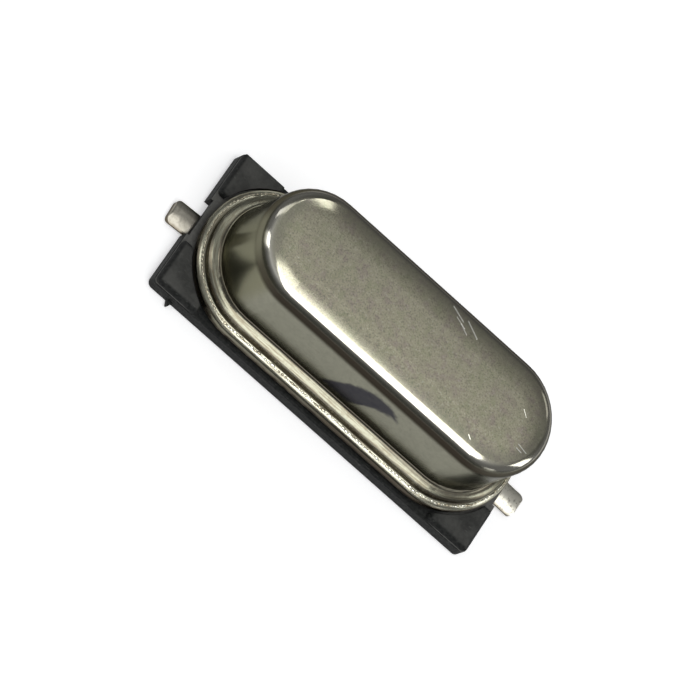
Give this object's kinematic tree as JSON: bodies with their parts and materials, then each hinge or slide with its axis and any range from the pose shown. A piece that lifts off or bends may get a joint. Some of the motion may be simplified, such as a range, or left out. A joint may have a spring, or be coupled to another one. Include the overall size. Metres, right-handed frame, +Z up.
{
  "type": "crystal oscillator",
  "caption": "Low-profile surface-mount quartz crystal: a round-ended metal can welded to a flanged header, on a black insulator with two flattened leads.",
  "frame": {"origin": "on the board, under the middle of the part", "axes": "+X along the can from the left lead to the right lead, +Y away from the side with the gate mark, +Z up from the board"},
  "size_m": [0.0128, 0.0048, 0.0037],
  "materials": {
    "can_metal": "satin nickel, faintly mottled and scratched",
    "header_metal": "plated steel, dull at the weld",
    "seal_glass": "fused sealing glass",
    "tinned_lead": "bright tinned, slightly uneven",
    "clip_strip": "thin spring strip",
    "quartz": "lapped quartz",
    "silver_film": "evaporated silver",
    "conductive_adhesive": "silver-filled adhesive",
    "insulator_plastic": "fine matte moulding"
  },
  "bodies": {
    "root": {"can": "can_metal", "header_base": "header_metal", "glass_seal_left": "seal_glass", "glass_seal_right": "seal_glass", "lead_left": "tinned_lead", "lead_right": "tinned_lead", "spring_clip_left": "clip_strip", "spring_clip_right": "clip_strip", "quartz_blank": "quartz", "electrode_front": "silver_film", "electrode_back": "silver_film", "adhesive_left": "conductive_adhesive", "adhesive_right": "conductive_adhesive", "insulator_base": "insulator_plastic"}
  },
  "joints": []
}
